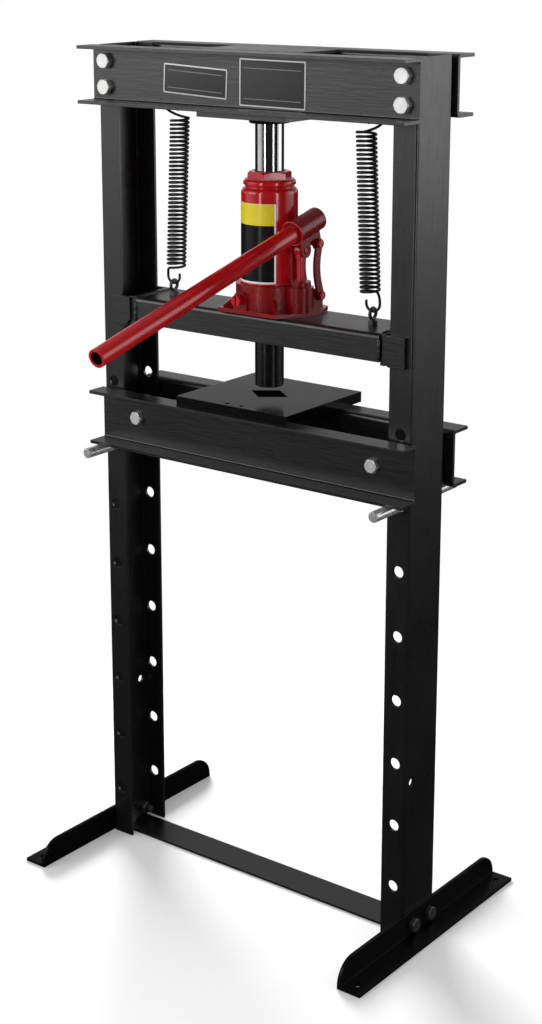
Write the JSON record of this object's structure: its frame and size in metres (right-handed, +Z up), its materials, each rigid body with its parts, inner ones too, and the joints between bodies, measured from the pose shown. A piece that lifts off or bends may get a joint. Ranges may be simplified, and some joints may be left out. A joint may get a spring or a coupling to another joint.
{
  "type": "hydraulic workshop press",
  "caption": "Floor-standing two-post workshop press: red bottle jack on a sprung crossbar under paired head beams, with a height-adjustable channel bed, pins and notched plates.",
  "frame": {"origin": "on the floor, midway between the posts; it lies in the floor strap's underside. The jack and the press ram stand 6 mm to the right of it, within the play of the crossbar between the posts", "axes": "+X to the right along the head beams, +Y to the back, +Z up; the pump handle points towards -Y"},
  "size_m": [0.649, 0.6587, 1.29],
  "materials": {
    "frame_paint": "satin powder coat, near-black",
    "plate_paint": "glossy black paint",
    "red_enamel": "glossy red enamel",
    "zinc": "bright zinc plating",
    "dark_steel": "blackened steel",
    "bright_steel": "ground steel",
    "chrome_plate": "polished hard chrome",
    "spring_steel": "oiled black spring wire",
    "seal_rubber": "moulded seal"
  },
  "bodies": {
    "frame": {"left_post": "frame_paint", "right_post": "frame_paint", "top_beam_front": "frame_paint", "top_beam_rear": "frame_paint", "top_tie_plate": "frame_paint", "bearing_plate": "frame_paint", "locating_cup": "plate_paint", "head_bolts": "zinc", "head_nuts": "zinc", "head_spacers": "dark_steel", "left_spring_hanger": "frame_paint", "right_spring_hanger": "frame_paint", "left_top_eye_bolt": "dark_steel", "right_top_eye_bolt": "dark_steel", "top_eye_nuts": "dark_steel", "left_foot": "frame_paint", "right_foot": "frame_paint", "floor_strap": "frame_paint", "foot_bolts": "dark_steel", "foot_nuts": "dark_steel", "bed_front": "frame_paint", "bed_rear": "frame_paint", "bed_spacers": "frame_paint", "bed_bolts": "zinc", "bed_nuts": "zinc", "left_spring": "spring_steel", "right_spring": "spring_steel"},
    "carriage": {"crossbar": "frame_paint", "left_guide_bracket": "frame_paint", "right_guide_bracket": "frame_paint", "press_ram": "plate_paint", "left_eye_bolt": "dark_steel", "right_eye_bolt": "dark_steel", "crossbar_eye_nuts": "dark_steel", "jack_base": "red_enamel", "jack_tank": "red_enamel", "jack_cylinder": "bright_steel", "jack_packing_nut": "red_enamel", "pump_cylinder": "red_enamel", "link_base_pin": "red_enamel", "filler_plug": "dark_steel"},
    "jack_ram_set": {"jack_ram": "chrome_plate", "ram_seal": "seal_rubber", "extension_screw": "chrome_plate"},
    "link": {"link_strap_outer": "red_enamel", "link_strap_inner": "red_enamel", "link_top_pin": "red_enamel"},
    "socket": {"handle_socket": "red_enamel"},
    "handle": {"jack_handle": "red_enamel"},
    "pump": {"pump_piston": "red_enamel", "piston_pin": "red_enamel"},
    "valve": {"release_valve": "red_enamel"},
    "left_pin": {"left_bed_pin": "bright_steel"},
    "right_pin": {"right_bed_pin": "bright_steel"},
    "left_plate": {"left_arbor_plate": "plate_paint"},
    "right_plate": {"right_arbor_plate": "plate_paint"}
  },
  "joints": [
    {"name": "carriage_slide", "type": "slide", "parent": "frame", "child": "carriage", "axis": [0, 0, 1], "range_m": [-0.017, 0.06], "stiffness_N_per_m": 4500, "springref_m": 0.022, "deforming": ["left_spring", "right_spring"]},
    {"name": "ram_extend", "type": "slide", "parent": "carriage", "child": "jack_ram_set", "axis": [0, 0, 1], "range_m": [-0.06, 0.017]},
    {"name": "pump_lever", "type": "hinge", "parent": "link", "child": "socket", "pos_m": [0.0665, 0.02163, 1.01446], "axis": [-1, 0, 0], "range_deg": [-4, 40]},
    {"name": "link_swing", "type": "hinge", "parent": "carriage", "child": "link", "pos_m": [0.0665, 0.0265, 0.9375], "axis": [-1, 0, 0], "range_deg": [-0.8, 0.15]},
    {"name": "pump_stroke", "type": "slide", "parent": "carriage", "child": "pump", "axis": [0, 0, 1], "range_m": [-0.002, 0.0191]},
    {"name": "handle_slide", "type": "slide", "parent": "socket", "child": "handle", "axis": [0, -0.969, -0.247], "range_m": [0, 0.055]},
    {"name": "release_turn", "type": "hinge", "parent": "carriage", "child": "valve", "pos_m": [-0.008, -0.053, 0.933], "axis": [0, -1, 0], "range_deg": [0, 360]},
    {"name": "left_pin_slide", "type": "slide", "parent": "frame", "child": "left_pin", "axis": [0, -1, 0], "range_m": [0, 0.14]},
    {"name": "right_pin_slide", "type": "slide", "parent": "frame", "child": "right_pin", "axis": [0, -1, 0], "range_m": [0, 0.14]},
    {"name": "left_plate_slide", "type": "slide", "parent": "frame", "child": "left_plate", "axis": [-1, 0, 0], "range_m": [0, 0.1]},
    {"name": "right_plate_slide", "type": "slide", "parent": "frame", "child": "right_plate", "axis": [1, 0, 0], "range_m": [0, 0.1]}
  ],
  "couplings": [
    {"joint": "ram_extend", "follows": "carriage_slide", "ratio": -1},
    {"joint": "link_swing", "follows": "pump_lever", "ratio": -0.0172},
    {"joint": "pump_stroke", "follows": "pump_lever", "m_per_rad": 0.0271}
  ]
}
